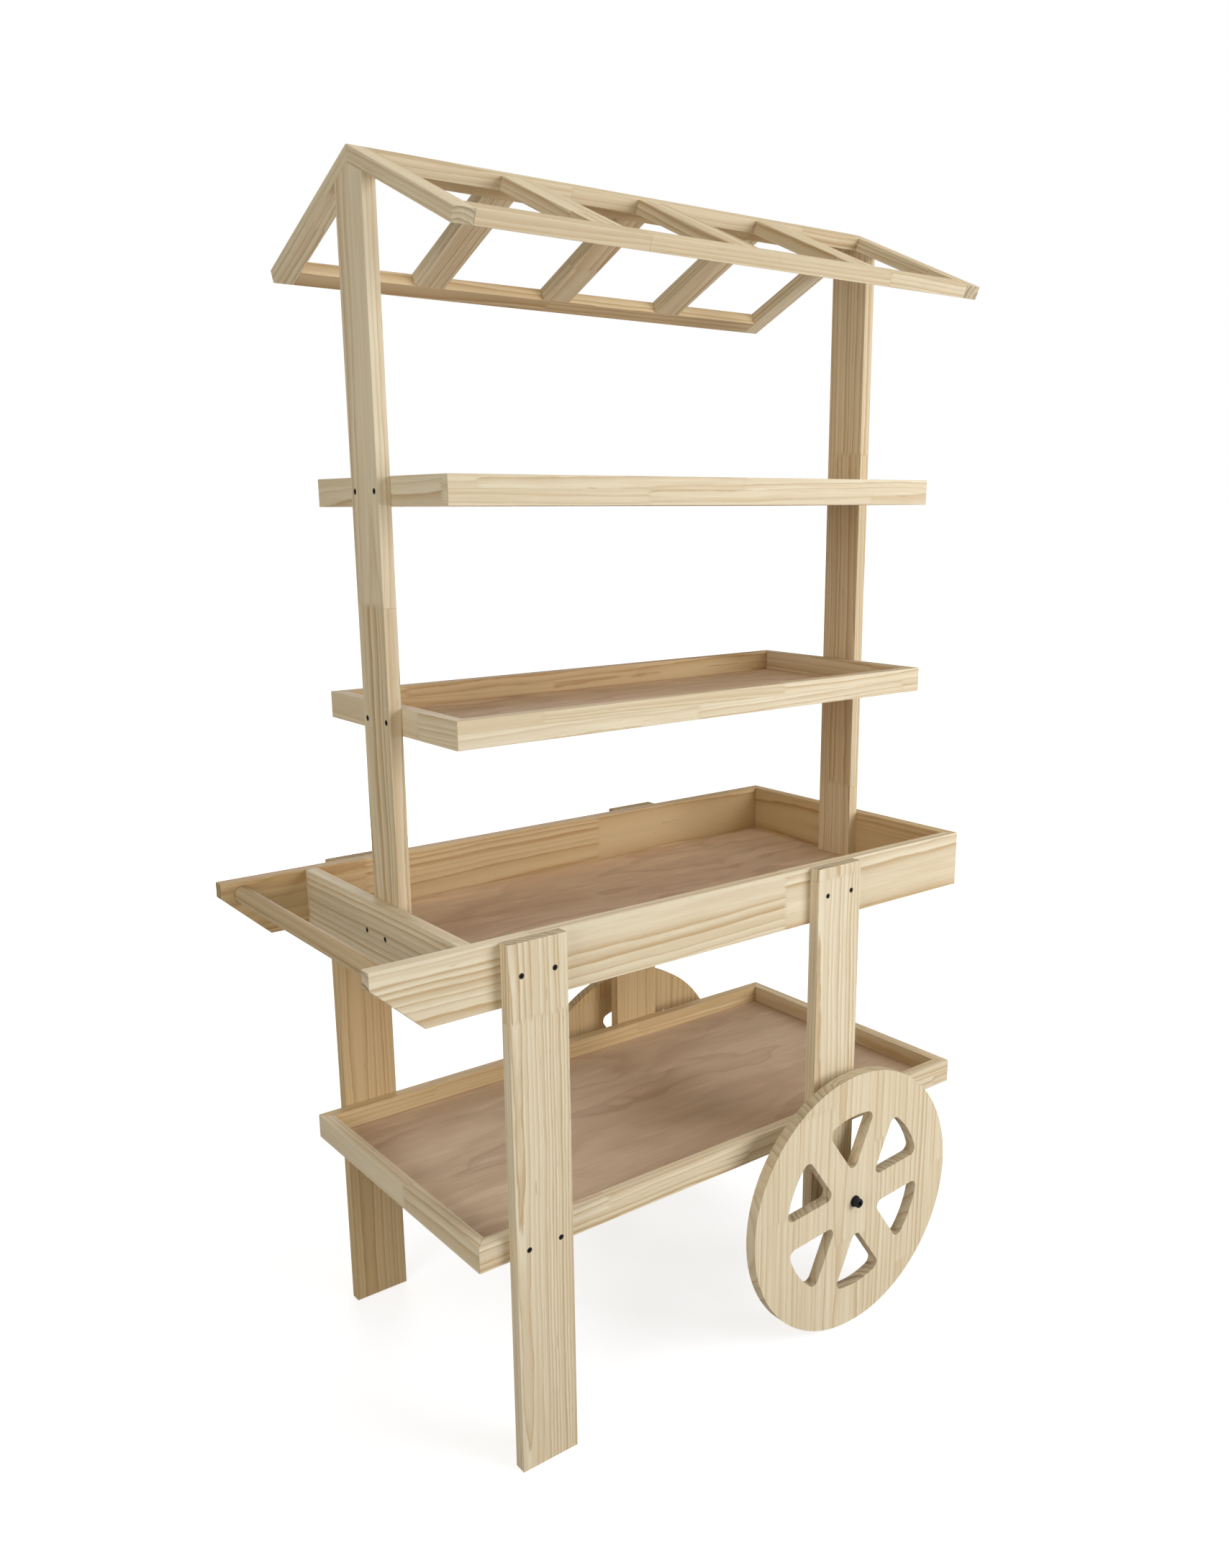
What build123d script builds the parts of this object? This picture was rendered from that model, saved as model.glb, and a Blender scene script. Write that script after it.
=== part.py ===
"""Two-wheeled wooden push vending cart: a deep display tray with handle horns, a lower tray, two shelves
hung between two posts and an open gable roof frame. Millimetres, +Z up. X runs from the handle end (-X) to
the wheel end (+X), -Y is the front. The origin is the centre of the footprint, on the floor."""

import os
from math import asin, cos, radians, sin, tan

from build123d import *

# ---- main tray -------------------------------------------------------------------------------------------
TRAY_L = 1000.0          # over the two end boards
TRAY_W = 524.0           # over the two side boards; the lower tray is as wide, so the legs lie flat on both
TRAY_TOP = 813.0         # floor to the top edge of the tray
SIDE_H = 94.0            # height of the tray's boards
SIDE_T = 20.0            # thickness of the tray's boards
TRAY_PLY = 9.0           # plywood floor of the main tray
FLOOR_REBATE = 6.0       # how far each floor is let into the boards around it

# ---- handle ----------------------------------------------------------------------------------------------
HORN_REACH = 139.0       # side boards past the handle-end board
HORN_TIP_H = 24.0        # upright end of a horn, above its slanted cut
HORN_CUT_X = 76.0        # length of the slanted cut, measured along X
BAR_D = 27.0             # round handle bar
BAR_FIT = 0.5            # bar in its blind holes, radial
BAR_HOLE_DEPTH = 12.0    # blind hole in each horn
BAR_FROM_TIP = 34.5      # bar axis from the horn's end
BAR_BELOW_TOP = 22.0     # bar axis below the tray's top edge

# ---- legs ------------------------------------------------------------------------------------------------
LEG_W = 96.0             # width along X
LEG_T = 20.0
HANDLE_LEG_X = 51.5      # handle-end face of the tray to the near edge of the handle-side legs
AXLE_OFF_MIDDLE = 11.5   # axle past the middle of the wheel-side legs
LEG_BELOW_AXLE = 45.0    # wheel-side legs end this far below the axle

# ---- lower tray ------------------------------------------------------------------------------------------
LOWER_INSET = 2.0        # handle-end face of the lower tray inside that of the main tray
LOWER_OVERHANG = 8.0     # wheel-end face of the lower tray past that of the main tray
LOWER_TOP = 377.0        # floor to the top edge of the lower tray
LOWER_H = 41.0
LOWER_T = 20.0
LOWER_PLY = 9.0

# ---- posts and shelves -----------------------------------------------------------------------------------
POST_W = 79.0            # width along Y
POST_T = 20.0
SHELF_D = 385.0          # shelf depth along Y
SHELF_H = 40.0
SHELF_T = 20.0
SHELF_PLY = 6.0
SHELF_RISES = {"low_shelf": 289.0, "high_shelf": 605.0}   # tray's top edge to each shelf's top edge

# ---- roof ------------------------------------------------------------------------------------------------
RIDGE_RISE = 1020.0      # tray's top edge to the ridge
ROOF_PITCH = 23.75       # degrees
SLOPE_L = 291.5          # ridge to eave, along the slope
ROOF_T = 20.0            # thickness of the roof boards, square to the slope
RIDGE_RAIL_W = 33.0
EAVE_RAIL_W = 32.0
END_RAFTER_W = 31.0
RAFTER_W = 52.0
RAFTERS_BETWEEN = 3      # wide rafters between the two end rafters

# ---- wheels ----------------------------------------------------------------------------------------------
WHEEL_R = 230.0
WHEEL_T = 20.0
AXLE_X = 694.0           # handle-end face of the tray to the axle
WHEEL_OFF_LEG = 25.0     # gap between leg and wheel, filled by the spacer
RIM_EASE = 1.2           # chamfer on both edges of the rim
CUTOUTS = 6
CUTOUT_TURN = 35.0       # direction of one cut-out's middle, degrees from +X
RIM_W = 71.0             # wood between the cut-outs and the wheel's edge
SPOKE_W = 53.0
CUTOUT_APEX_R = 11.0
CUTOUT_CORNER_R = 12.0

# ---- axle bolt, washer, spacer and nut -------------------------------------------------------------------
BOLT_D = 10.0
BOLT_FIT = 0.08          # wheel, spacer, washer, nut and leg on the bolt, radial
SIDE_PLAY = 0.3          # wheel to spacer and wheel to washer
HEAD_D = 16.0
HEAD_H = 10.0
HEAD_EASE = 0.8
SOCKET_AF = 8.0          # hexagon socket across flats
SOCKET_DEPTH = 5.0
WASHER_D = 20.0
WASHER_T = 2.0
SPACER_D = 22.0
NUT_AF = 17.0
NUT_H = 8.0
BOLT_PAST_NUT = 3.0

# ---- wood screws -----------------------------------------------------------------------------------------
SCREW_D = 4.0
SCREW_COVER = 4.8        # wood left beyond a screw's tip
SCREW_HEAD_D = 8.4
SCREW_HEAD_H = 3.2
SCREW_SUNK = 1.2         # head below the wood's face
SCREW_FIT = 0.1          # screw in its hole, radial
SCREW_TIP_ROOM = 1.0
SCREW_RECESS = 2.0       # depth of the hexagon recess
SCREW_RECESS_AF = 3.0
LEG_SCREW_EDGE = 21.0    # screws from the edges of a leg
POST_SCREW_EDGE = 10.5   # screws from the edges of a post

# ---- positions that follow from the sizes above ----------------------------------------------------------
OVERALL_L = HORN_REACH + TRAY_L + max(0, LOWER_OVERHANG)
X0 = HORN_REACH - OVERALL_L / 2          # handle-end face of the main tray
X1 = X0 + TRAY_L
HALF_W = TRAY_W / 2
LEG_Y = HALF_W + LEG_T                   # outer face of the legs
TRAY_BOTTOM = TRAY_TOP - SIDE_H
TRAY_FLOOR_TOP = TRAY_BOTTOM + TRAY_PLY
WHEEL_LEG_X = AXLE_X - AXLE_OFF_MIDDLE - LEG_W / 2
POST_X = (X0 + SIDE_T, X1 - SIDE_T - POST_T)
ROOF_X0, ROOF_X1 = POST_X[0], POST_X[1] + POST_T
SHELF_X0, SHELF_X1 = ROOF_X0 + POST_T, ROOF_X1 - POST_T
SHELF_TOPS = {shelf: TRAY_TOP + rise for shelf, rise in SHELF_RISES.items()}
RIDGE_TOP = TRAY_TOP + RIDGE_RISE
CUTOUT_R = WHEEL_R - RIM_W
AXLE = (X0 + AXLE_X, WHEEL_R)            # X and Z
WHEEL_Y = LEG_Y + WHEEL_OFF_LEG          # inner face of a wheel
PITCH = radians(ROOF_PITCH)
SIDES = {"front": -1, "back": 1}


def box(x, y, z):
    """A box between pairs of coordinates."""
    size = [abs(b - a) for a, b in (x, y, z)]
    low = [min(p) for p in (x, y, z)]
    return Pos(*low) * Box(*size, align=(Align.MIN, Align.MIN, Align.MIN))


def prism(points, along):
    """The polygon through the points, swept along a vector."""
    face = make_face(Polyline(*points, close=True))
    way = Vector(*along)
    return extrude(face, amount=way.length, dir=way.normalized())


def rod(start, way, length, radius):
    """A cylinder from a point, along a unit vector."""
    return Plane(origin=start, z_dir=way) * Cylinder(
        radius, length, align=(Align.CENTER, Align.CENTER, Align.MIN)
    )


def hexagon(start, way, across_flats, length):
    profile = RegularPolygon(across_flats / 2, 6, major_radius=False)
    return Plane(origin=start, z_dir=way) * extrude(profile, amount=length)


def mitred_frame(name, x, width, top, height, thick, ply):
    """Four rails mitred at the corners, and the plywood floor let into their lower inner edges."""
    (a, b), h, t = x, width / 2, thick
    low = top - height
    plans = {
        "rail_front": [(a, -h), (b, -h), (b - t, t - h), (a + t, t - h)],
        "rail_back": [(a, h), (b, h), (b - t, h - t), (a + t, h - t)],
        "rail_handle": [(a, -h), (a, h), (a + t, h - t), (a + t, t - h)],
        "rail_far": [(b, -h), (b, h), (b - t, h - t), (b - t, t - h)],
    }
    edge = t - FLOOR_REBATE
    floor = box((a + edge, b - edge), (edge - h, h - edge), (low, low + ply))
    pieces = {
        f"{name}_{rail}": prism([(px, py, low) for px, py in plan], (0, 0, height)) - floor
        for rail, plan in plans.items()
    }
    pieces[f"{name}_floor"] = floor
    return pieces


def main_tray():
    """Side boards with handle horns, butted handle-end board, mitred far-end board, and the floor."""
    t, low, edge = SIDE_T, TRAY_BOTTOM, SIDE_T - FLOOR_REBATE
    tip = X0 - HORN_REACH
    floor = box((X0 + edge, X1 - edge), (edge - HALF_W, HALF_W - edge), (low, low + TRAY_PLY))
    cut_z = TRAY_TOP - HORN_TIP_H
    cut = [(tip, cut_z), (tip + HORN_CUT_X, low), (tip, low)]
    pieces = {}
    for side, s in SIDES.items():
        out, inn = s * HALF_W, s * (HALF_W - t)
        plan = [(tip, out), (X1, out), (X1 - t, inn), (tip, inn)]
        board = prism([(x, y, low) for x, y in plan], (0, 0, SIDE_H))
        board -= prism([(x, out, z) for x, z in cut], (0, -s * t, 0))
        hole = rod((bar_x(), s * bar_half(), bar_z()), (0, -s, 0), BAR_HOLE_DEPTH, BAR_D / 2 + BAR_FIT)
        pieces[f"side_board_{side}"] = board - floor - hole
    inner = HALF_W - t
    pieces["end_board_handle"] = box((X0, X0 + t), (-inner, inner), (low, TRAY_TOP)) - floor
    plan = [(X1, -HALF_W), (X1, HALF_W), (X1 - t, inner), (X1 - t, -inner)]
    pieces["end_board_far"] = prism([(x, y, low) for x, y in plan], (0, 0, SIDE_H)) - floor
    pieces["tray_floor"] = floor
    return pieces


def bar_x():
    return X0 - HORN_REACH + BAR_FROM_TIP


def bar_z():
    return TRAY_TOP - BAR_BELOW_TOP


def bar_half():
    """Half the length of the handle bar: it ends on the bottoms of its blind holes."""
    return HALF_W - SIDE_T + BAR_HOLE_DEPTH


def handle_bar():
    return rod((bar_x(), -bar_half(), bar_z()), (0, 1, 0), 2 * bar_half(), BAR_D / 2)


def legs():
    """Four flat legs outside the trays; the wheel-side pair stop below the axle and are bored for it."""
    pieces = {}
    for side, s in SIDES.items():
        y = (s * HALF_W, s * LEG_Y)
        x = X0 + HANDLE_LEG_X
        pieces[f"leg_handle_{side}"] = box((x, x + LEG_W), y, (0, TRAY_TOP))
        x = X0 + WHEEL_LEG_X
        leg = box((x, x + LEG_W), y, (AXLE[1] - LEG_BELOW_AXLE, TRAY_TOP))
        bore = rod((AXLE[0], 0, AXLE[1]), (0, s, 0), 2 * LEG_Y, BOLT_D / 2 + BOLT_FIT)
        pieces[f"leg_wheel_{side}"] = leg - bore
    return pieces


def roof_under(y):
    """Height of the roof boards' underside at a distance from the ridge line."""
    return RIDGE_TOP - ROOF_T / cos(PITCH) - abs(y) * tan(PITCH)


def posts():
    """Two posts on the tray's floor, cut to the roof's pitch at the top."""
    h = POST_W / 2
    foot, shoulder = TRAY_FLOOR_TOP, roof_under(h)
    outline = [(-h, foot), (h, foot), (h, shoulder), (0, roof_under(0)), (-h, shoulder)]
    return {
        name: prism([(x, y, z) for y, z in outline], (POST_T, 0, 0))
        for name, x in zip(("post_handle", "post_far"), POST_X)
    }


def on_slope(s, along, above):
    """Y and Z of a point given by its distance down the slope and above the boards' outer face."""
    y = along * cos(PITCH) + above * sin(PITCH)
    return s * y, RIDGE_TOP - along * sin(PITCH) + above * cos(PITCH)


def slope_strip(s, x, start, end):
    """A roof board between two distances down the slope, cut upright where it starts at the ridge."""
    top, bottom = on_slope(s, start, 0), on_slope(s, start, -ROOF_T)
    if start == 0:
        bottom = (0, roof_under(0))
    outline = [top, on_slope(s, end, 0), on_slope(s, end, -ROOF_T), bottom]
    return prism([(x[0], y, z) for y, z in outline], (x[1] - x[0], 0, 0))


def rafter_starts():
    """X of each wide rafter: equal bays between the end rafters."""
    clear = ROOF_X1 - ROOF_X0 - 2 * END_RAFTER_W - RAFTERS_BETWEEN * RAFTER_W
    bay = clear / (RAFTERS_BETWEEN + 1)
    first = ROOF_X0 + END_RAFTER_W + bay
    return [first + i * (RAFTER_W + bay) for i in range(RAFTERS_BETWEEN)]


def roof():
    """Two slope frames that meet on an upright joint at the ridge."""
    pieces = {}
    inner = (ROOF_X0 + END_RAFTER_W, ROOF_X1 - END_RAFTER_W)
    for side, s in SIDES.items():
        name = f"roof_{side}"
        pieces[f"{name}_ridge_rail"] = slope_strip(s, inner, 0, RIDGE_RAIL_W)
        pieces[f"{name}_eave_rail"] = slope_strip(s, inner, SLOPE_L - EAVE_RAIL_W, SLOPE_L)
        pieces[f"{name}_end_rafter_handle"] = slope_strip(s, (ROOF_X0, inner[0]), 0, SLOPE_L)
        pieces[f"{name}_end_rafter_far"] = slope_strip(s, (inner[1], ROOF_X1), 0, SLOPE_L)
        for number, x in enumerate(rafter_starts(), 1):
            strip = slope_strip(s, (x, x + RAFTER_W), RIDGE_RAIL_W, SLOPE_L - EAVE_RAIL_W)
            pieces[f"{name}_rafter_{number}"] = strip
    return pieces


def cutout_profile():
    """One wheel cut-out about +X: straight sides parallel to the spokes, an arc outside, rounded corners."""
    half_bay = radians(180 / CUTOUTS)
    apex = SPOKE_W / 2 / sin(half_bay)
    reach = half_bay - asin(SPOKE_W / 2 / CUTOUT_R)
    corner = Vector(CUTOUT_R * cos(reach), CUTOUT_R * sin(reach))
    mirrored = Vector(corner.X, -corner.Y)
    edges = [
        Line((apex, 0), corner),
        ThreePointArc(corner, (CUTOUT_R, 0), mirrored),
        Line(mirrored, (apex, 0)),
    ]
    face = make_face(edges)
    points = face.vertices().sort_by(Axis.X)
    face = fillet(points[0], CUTOUT_APEX_R)
    corners = [v for v in face.vertices() if v.X > 0.75 * CUTOUT_R and abs(v.Y) > 0.5 * corner.Y]
    return fillet(corners, CUTOUT_CORNER_R)


def wheel(s):
    disc = Cylinder(WHEEL_R, WHEEL_T)
    disc = chamfer(disc.edges().filter_by(GeomType.CIRCLE), RIM_EASE)
    profile = cutout_profile()
    for i in range(CUTOUTS):
        turned = Rot(0, 0, CUTOUT_TURN + i * 360 / CUTOUTS) * profile
        disc -= Pos(0, 0, -WHEEL_T) * extrude(turned, amount=2 * WHEEL_T)
    disc -= Cylinder(BOLT_D / 2 + BOLT_FIT, 2 * WHEEL_T)
    middle = (AXLE[0], s * (WHEEL_Y + WHEEL_T / 2), AXLE[1])
    return Plane(origin=middle, x_dir=(1, 0, 0), z_dir=(0, -1, 0)) * disc


def axle_parts(side, s):
    """Socket-head bolt with its washer outside the wheel, spacer between wheel and leg, nut inside the leg."""
    def at(y):
        return AXLE[0], s * y, AXLE[1]

    out, bore = (0, s, 0), BOLT_D / 2 + BOLT_FIT
    washer_y = WHEEL_Y + WHEEL_T + SIDE_PLAY
    head_y = washer_y + WASHER_T
    start_y = HALF_W - NUT_H - BOLT_PAST_NUT
    head = rod(at(head_y), out, HEAD_H, HEAD_D / 2)
    outer_edge = head.edges().filter_by(GeomType.CIRCLE).sort_by(Axis.Y)[-1 if s > 0 else 0]
    head = chamfer(outer_edge, HEAD_EASE)
    head -= hexagon(at(head_y + HEAD_H - SOCKET_DEPTH), out, SOCKET_AF, SOCKET_DEPTH + 1)
    washer = rod(at(washer_y), out, WASHER_T, WASHER_D / 2)
    spacer = rod(at(LEG_Y), out, WHEEL_OFF_LEG - SIDE_PLAY, SPACER_D / 2)
    nut = hexagon(at(HALF_W - NUT_H), out, NUT_AF, NUT_H)
    hole = rod(at(0), out, 2 * WHEEL_Y, bore)
    return {
        f"axle_bolt_{side}": head + rod(at(start_y), out, head_y - start_y, BOLT_D / 2),
        f"axle_washer_{side}": washer - hole,
        f"axle_spacer_{side}": spacer - hole,
        f"axle_nut_{side}": nut - hole,
    }


def screw(face, way, wood):
    """A black wood screw through two boards of this total thickness, sunk, with a hexagon recess."""
    start = Vector(*face) + Vector(*way) * SCREW_SUNK
    length = wood - SCREW_SUNK - SCREW_COVER
    body = rod(start, way, SCREW_HEAD_H, SCREW_HEAD_D / 2) + rod(start, way, length, SCREW_D / 2)
    return body - hexagon(start, way, SCREW_RECESS_AF, SCREW_RECESS)


def screw_hole(face, way, wood):
    """Counterbore and pilot hole that a screw sits in."""
    wide = rod(face, way, SCREW_SUNK + SCREW_HEAD_H, SCREW_HEAD_D / 2 + SCREW_FIT)
    return wide + rod(face, way, wood - SCREW_COVER + SCREW_TIP_ROOM, SCREW_D / 2 + SCREW_FIT)


def leg_screws():
    """Pairs through each leg into the main tray and into the lower tray."""
    levels = {
        "leg_tray_screws": (TRAY_TOP - SIDE_H / 2, "side_board", LEG_T + SIDE_T),
        "leg_lower_screws": (LOWER_TOP - LOWER_H / 2, "lower_tray_rail", LEG_T + LOWER_T),
    }
    groups = {group: [] for group in levels}
    for side, s in SIDES.items():
        for end, start in (("handle", HANDLE_LEG_X), ("wheel", WHEEL_LEG_X)):
            for x in (start + LEG_SCREW_EDGE, start + LEG_W - LEG_SCREW_EDGE):
                for group, (z, board, wood) in levels.items():
                    joined = (f"leg_{end}_{side}", f"{board}_{side}")
                    groups[group].append(((X0 + x, s * LEG_Y, z), (0, -s, 0), wood, joined))
    return groups


def post_screws():
    """Pairs through each end board into its post, and through each post into the shelves."""
    groups = {"post_screws": []} | {f"{shelf}_screws": [] for shelf in SHELF_TOPS}
    tray_z, reach = TRAY_TOP - SIDE_H / 2, POST_W / 2 - POST_SCREW_EDGE
    for end, tray_x, post_x, way in (("handle", X0, ROOF_X0, 1), ("far", X1, ROOF_X1, -1)):
        post, inward = f"post_{end}", (way, 0, 0)
        for y in (-reach, reach):
            joined = (f"end_board_{end}", post)
            groups["post_screws"].append(((tray_x, y, tray_z), inward, SIDE_T + POST_T, joined))
            for shelf, top in SHELF_TOPS.items():
                place = (post_x, y, top - SHELF_H / 2)
                joined = (post, f"{shelf}_rail_{end}")
                groups[f"{shelf}_screws"].append((place, inward, POST_T + SHELF_T, joined))
    return groups


def cart():
    """Every named piece of the cart, in its place."""
    pieces = main_tray() | {"handle_bar": handle_bar()} | legs() | posts() | roof()
    lower_x = (X0 + LOWER_INSET, X1 + LOWER_OVERHANG)
    pieces |= mitred_frame("lower_tray", lower_x, TRAY_W, LOWER_TOP, LOWER_H, LOWER_T, LOWER_PLY)
    for shelf, top in SHELF_TOPS.items():
        pieces |= mitred_frame(shelf, (SHELF_X0, SHELF_X1), SHELF_D, top, SHELF_H, SHELF_T, SHELF_PLY)
    for side, s in SIDES.items():
        pieces[f"wheel_{side}"] = wheel(s)
        pieces |= axle_parts(side, s)
    for group, screws in (leg_screws() | post_screws()).items():
        for face, way, wood, joined in screws:
            for name in joined:
                pieces[name] -= screw_hole(face, way, wood)
        pieces[group] = Compound(children=[screw(*where).solid() for *where, _ in screws])
    return pieces


os.makedirs("parts", exist_ok=True)
for node, piece in cart().items():
    solids = piece.solids()
    export_step(Compound(children=list(solids)) if len(solids) > 1 else solids[0], f"parts/{node}.step")
    print(node, len(solids))
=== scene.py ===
"""Looks of the wooden push cart: planed pine boards with eased arrises, veneered floors, turned handle bar,
spoked wheels, black screws and axle bolts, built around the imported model. Metres, +Z up, -Y the front."""

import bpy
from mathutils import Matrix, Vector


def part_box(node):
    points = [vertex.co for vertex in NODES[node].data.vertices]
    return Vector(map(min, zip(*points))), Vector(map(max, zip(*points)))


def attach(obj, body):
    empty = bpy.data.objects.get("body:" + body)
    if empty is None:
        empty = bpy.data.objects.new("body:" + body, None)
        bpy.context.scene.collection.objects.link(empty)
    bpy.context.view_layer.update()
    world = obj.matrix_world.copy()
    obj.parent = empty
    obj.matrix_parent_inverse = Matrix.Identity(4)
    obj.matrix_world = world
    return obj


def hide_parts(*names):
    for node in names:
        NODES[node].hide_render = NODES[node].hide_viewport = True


bl_info = {
    "name": "Wooden Push Cart",
    "version": (1, 0, 0),
    "blender": (4, 5, 0),
    "location": "View3D > Sidebar > Push Cart",
    "description": "Builds the boards, floors, wheels and hardware of a wooden push cart",
    "category": "Add Mesh",
}

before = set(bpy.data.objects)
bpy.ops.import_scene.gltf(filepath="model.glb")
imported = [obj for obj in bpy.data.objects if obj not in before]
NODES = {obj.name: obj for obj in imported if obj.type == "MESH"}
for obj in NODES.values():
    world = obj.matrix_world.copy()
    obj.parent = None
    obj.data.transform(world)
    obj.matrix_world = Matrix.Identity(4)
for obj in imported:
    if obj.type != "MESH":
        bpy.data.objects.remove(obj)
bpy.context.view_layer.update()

from math import asin, cos, hypot, pi, radians, sin

import bpy
from mathutils import Euler, Matrix, Vector

BODY = "cart_frame"
X, Y, Z = Vector((1, 0, 0)), Vector((0, 1, 0)), Vector((0, 0, 1))
SIDES = {"front": -1, "back": 1}                                    # way along Y
PAINTED_SHADE_WARMTH = {"front": 0.08, "back": 0.92, "handle": 0.13, "far": 0.36}   # warm, darker tint of each side's boards: painted shade, strongest on the back and far sides, which face away from the lights
SIDE_BOARD_SEED = {"front": 53.9, "back": 9.0}
WHEEL_SEED = {"front": 90.3, "back": 96.0}
FLOOR_TONE = {"tray": 0.94, "lower_tray": 0.77, "low_shelf": 0.97, "high_shelf": 0.97}   # brightness
SHARP = radians(32)                                                 # edges sharper than this are eased
STAGE_MIDDLE = Vector((0, 0, 0.9))                                  # what the lights look at


# ---- settings --------------------------------------------------------------------------------------------

def colour(name, description, default):
    return bpy.props.FloatVectorProperty(
        name=name, description=description, default=default, size=3, min=0, max=1, subtype="COLOR"
    )


def length(name, description, default):
    return bpy.props.FloatProperty(
        name=name, description=description, default=default, unit="LENGTH", precision=5
    )


def watts(name, description, default):
    return bpy.props.FloatProperty(name=name, description=description, default=default, unit="POWER")


class PineSettings(bpy.types.PropertyGroup):
    """Planed, unfinished pine: colours, growth rings and finger-jointed lengths"""

    early: colour("Early wood", "Pale wood between the ring lines", (0.80, 0.73, 0.565))
    late: colour("Late wood", "Darker line of each growth ring", (0.54, 0.395, 0.22))
    end_grain: colour("End grain", "Ring lines on a board's cut ends", (0.36, 0.29, 0.20))
    joint_pitch: length("Finger pitch", "Width of one finger of a finger joint", 0.0038)
    joint_depth: length("Finger length", "Length of the fingers of a finger joint", 0.009)
    # Tint of the warm boards: on the back and far sides it paints shade
    warm: colour("Warm tint", "What the warmest boards are tinted with", (0.80, 0.66, 0.46))
    arris: length("Eased arris", "Radius taken off the edges of the boards", 0.0008)


class VeneerSettings(bpy.types.PropertyGroup):
    """Rotary-cut face veneer of the plywood floors"""

    pale: colour("Pale figure", "Light bands of the veneer", (0.98, 0.77, 0.525))
    dark: colour("Dark figure", "Reddish-brown bands of the veneer", (0.61, 0.41, 0.26))
    arris: length("Eased arris", "Radius taken off the edges of the floors", 0.0004)


class WheelSettings(bpy.types.PropertyGroup):
    """The wooden wheels"""

    cutouts: bpy.props.IntProperty(name="Cut-outs", description="Openings between the spokes", default=6)
    turn: bpy.props.FloatProperty(
        name="Turn", description="Direction of one cut-out from +X", default=radians(35), subtype="ANGLE"
    )
    arc: length("Cut-out radius", "Outer arc of the cut-outs", 0.159)
    spoke: length("Spoke width", "Wood between neighbouring cut-outs", 0.053)
    apex: length("Inner corner radius", "Rounding of a cut-out's corner at the hub", 0.011)
    corner: length("Outer corner radius", "Rounding of a cut-out's corners at the rim", 0.012)
    stave: length("Stave width", "Width of the strips the wheel is glued up from", 0.082)
    arris: length("Eased arris", "Radius routed on the wheel's edges", 0.0013)


class HandleSettings(bpy.types.PropertyGroup):
    """The handle bar"""

    tone: bpy.props.FloatProperty(
        name="Tone", description="Brightness of the bar's wood", default=0.84, min=0, max=1, subtype="FACTOR"
    )
    edge: length("Edge", "Radius turned on the bar's ends", 0.0015)


class MetalSettings(bpy.types.PropertyGroup):
    """Black screws and axle hardware"""

    black: colour("Black coat", "Colour of the black coating", (0.012, 0.012, 0.014))
    worn: colour("Worn coat", "Steel that shows through on the edges", (0.09, 0.088, 0.085))
    edge: length("Hardware edge", "Radius on the edges of the axle hardware", 0.0003)
    head_radius: length("Screw head radius", "Radius of the wood screws' heads", 0.0042)
    head_height: length("Screw head height", "Height of the wood screws' heads", 0.0032)
    head_edge: length("Screw head edge", "Radius on the edges of the wood screws' heads", 0.0004)
    recess_across: length("Recess", "Size of the hexagon recess, across its flats", 0.003)
    recess_depth: length("Recess depth", "Depth of the hexagon recess", 0.002)
    shank_radius: length("Shank radius", "Radius of the wood screws' shanks", 0.002)
    raised: length("Screw lift", "How far the heads sit above the bottom of their travel", 0.0008)


class StageSettings(bpy.types.PropertyGroup):
    """Camera, lights and floor"""

    eye: bpy.props.FloatVectorProperty(
        name="Camera",
        description="Place of the camera",
        default=(-1.2355, -1.6745, 1.3731),
        size=3,
        unit="LENGTH",
    )
    heading: bpy.props.FloatProperty(
        name="Heading", description="View direction, from +Y towards +X", default=0.6676, subtype="ANGLE"
    )
    pitch: bpy.props.FloatProperty(
        name="Pitch", description="View direction above the horizon", default=-0.2344, subtype="ANGLE"
    )
    roll: bpy.props.FloatProperty(name="Roll", description="Camera roll", default=-0.0045, subtype="ANGLE")
    lens: bpy.props.FloatProperty(
        name="Lens", description="Focal length, millimetres", default=37.90, unit="CAMERA"
    )
    shift: bpy.props.FloatVectorProperty(
        name="Shift", description="Lens shift, shares of the width", default=(-0.0310, 0.0276), size=2
    )
    key_light: watts("Key light", "Light from the front", 84)
    side_light: watts("Side light", "Light from the handle end", 45)
    top_light: watts("Top light", "Light from above", 40)
    back_light: watts("Back light", "Light from behind", 58)
    sky: bpy.props.FloatProperty(name="Sky", description="Strength of the light from all round", default=0.27)
    floor: colour("Floor", "Colour of the floor", (0.50, 0.50, 0.50))


SETTINGS = {
    "cart_pine": PineSettings,
    "cart_veneer": VeneerSettings,
    "cart_wheel": WheelSettings,
    "cart_handle": HandleSettings,
    "cart_metal": MetalSettings,
    "cart_stage": StageSettings,
}


# ---- modelling helpers -----------------------------------------------------------------------------------

def only(obj):
    """Makes one object the selected and active one."""
    bpy.ops.object.select_all(action="DESELECT")
    obj.select_set(True)
    bpy.context.view_layer.objects.active = obj
    return obj


def copy_of(source, name):
    """A copy of an object with its own mesh."""
    obj = bpy.data.objects.new(name, source.data.copy())
    bpy.context.scene.collection.objects.link(obj)
    return only(obj)


def settle(obj):
    """Puts the object's place, turn and size into its mesh."""
    only(obj)
    bpy.ops.object.transform_apply(location=True, rotation=True, scale=True)
    return obj


def add_cylinder(name, start, way, length, radius, vertices):
    """A cylinder from a point, along a direction."""
    bpy.ops.object.select_all(action="DESELECT")
    way = Vector(way).normalized()
    bpy.ops.mesh.primitive_cylinder_add(
        vertices=vertices,
        radius=radius,
        depth=length,
        location=Vector(start) + way * length / 2,
        rotation=way.to_track_quat("Z", "Y").to_euler(),
    )
    obj = bpy.context.object
    obj.name = name
    return settle(obj)


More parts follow.
